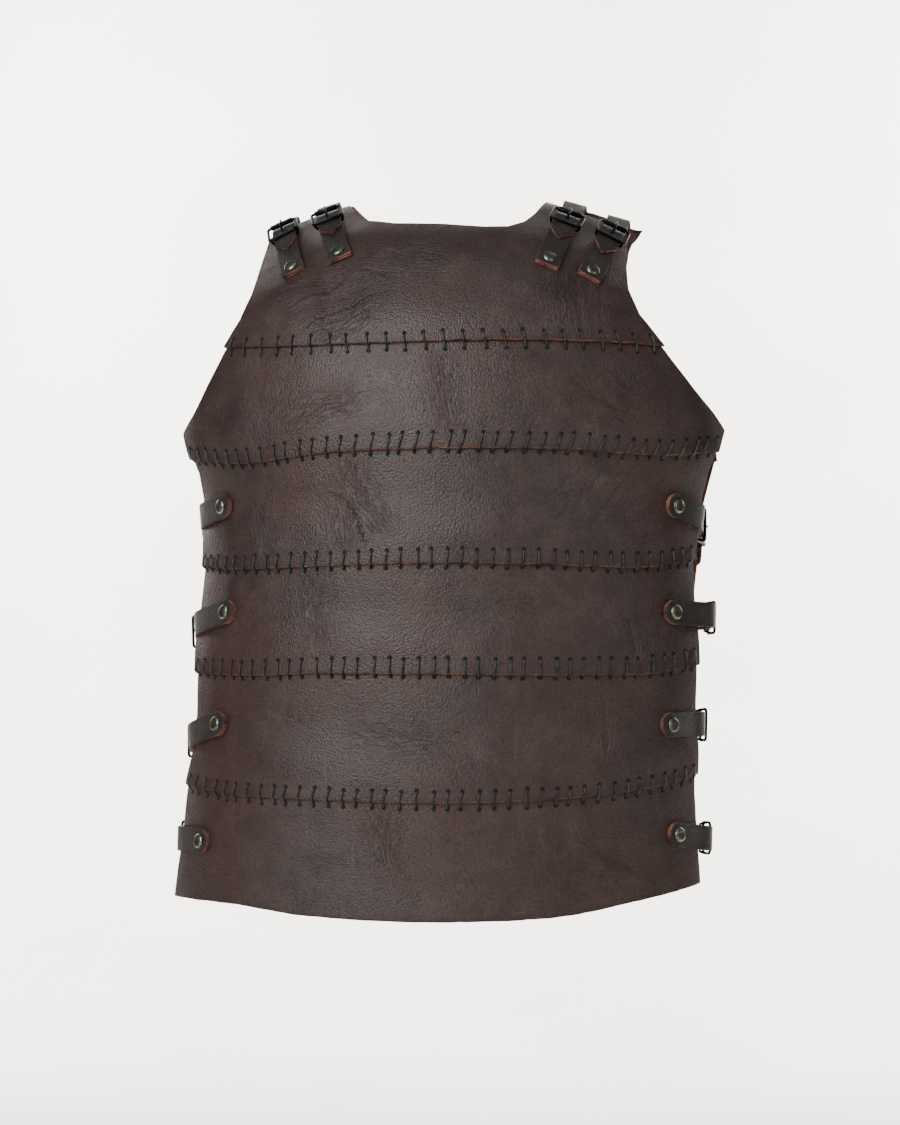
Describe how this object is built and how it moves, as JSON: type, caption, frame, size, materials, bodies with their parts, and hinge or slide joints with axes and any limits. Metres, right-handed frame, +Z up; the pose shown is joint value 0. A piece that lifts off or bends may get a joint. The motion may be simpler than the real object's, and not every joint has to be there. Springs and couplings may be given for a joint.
{
  "type": "leather cuirass",
  "caption": "Sleeveless torso armour of overlapping laced leather bands, worn hollow with open neck, armholes, sides and hem, and closed by buckled straps.",
  "frame": {"origin": "where the wearer's shoulders carry it: in the middle between the shoulders, level with their top", "axes": "+Z up, -Y towards the front of the cuirass, +X towards the viewer's right as seen from the front"},
  "size_m": [0.4609, 0.2966, 0.5996],
  "materials": {
    "band_leather": "dark oiled reddish-brown leather, satin, with a raw orange-brown cut edge",
    "strap_leather": "dark grey-brown strap leather, satin, raw cut edges",
    "blackened_steel": "blackened steel, semi-gloss",
    "antique_nickel": "antique nickel, greenish grey, polished on its high rim"
  },
  "bodies": {
    "root": {"front_band_1": "band_leather", "front_band_2": "band_leather", "front_band_3": "band_leather", "front_band_4": "band_leather", "front_band_5": "band_leather", "front_band_6": "band_leather", "back_band_1": "band_leather", "back_band_2": "band_leather", "back_band_3": "band_leather", "back_band_4": "band_leather", "back_band_5": "band_leather", "back_band_6": "band_leather", "tab_side_left_1": "strap_leather", "strap_side_left_1": "strap_leather", "buckle_side_left_1": "blackened_steel", "rivet_side_left_1": "antique_nickel", "tab_side_left_2": "strap_leather", "strap_side_left_2": "strap_leather", "buckle_side_left_2": "blackened_steel", "rivet_side_left_2": "antique_nickel", "tab_side_left_3": "strap_leather", "strap_side_left_3": "strap_leather", "buckle_side_left_3": "blackened_steel", "rivet_side_left_3": "antique_nickel", "tab_side_left_4": "strap_leather", "strap_side_left_4": "strap_leather", "buckle_side_left_4": "blackened_steel", "rivet_side_left_4": "antique_nickel", "tab_side_right_1": "strap_leather", "strap_side_right_1": "strap_leather", "buckle_side_right_1": "blackened_steel", "rivet_side_right_1": "antique_nickel", "tab_side_right_2": "strap_leather", "strap_side_right_2": "strap_leather", "buckle_side_right_2": "blackened_steel", "rivet_side_right_2": "antique_nickel", "tab_side_right_3": "strap_leather", "strap_side_right_3": "strap_leather", "buckle_side_right_3": "blackened_steel", "rivet_side_right_3": "antique_nickel", "tab_side_right_4": "strap_leather", "strap_side_right_4": "strap_leather", "buckle_side_right_4": "blackened_steel", "rivet_side_right_4": "antique_nickel", "tab_shoulder_left_outer": "strap_leather", "strap_shoulder_left_outer": "strap_leather", "buckle_shoulder_left_outer": "blackened_steel", "rivet_shoulder_left_outer": "antique_nickel", "tab_shoulder_left_inner": "strap_leather", "strap_shoulder_left_inner": "strap_leather", "buckle_shoulder_left_inner": "blackened_steel", "rivet_shoulder_left_inner": "antique_nickel", "tab_shoulder_right_inner": "strap_leather", "strap_shoulder_right_inner": "strap_leather", "buckle_shoulder_right_inner": "blackened_steel", "rivet_shoulder_right_inner": "antique_nickel", "tab_shoulder_right_outer": "strap_leather", "strap_shoulder_right_outer": "strap_leather", "buckle_shoulder_right_outer": "blackened_steel", "rivet_shoulder_right_outer": "antique_nickel"}
  },
  "joints": []
}
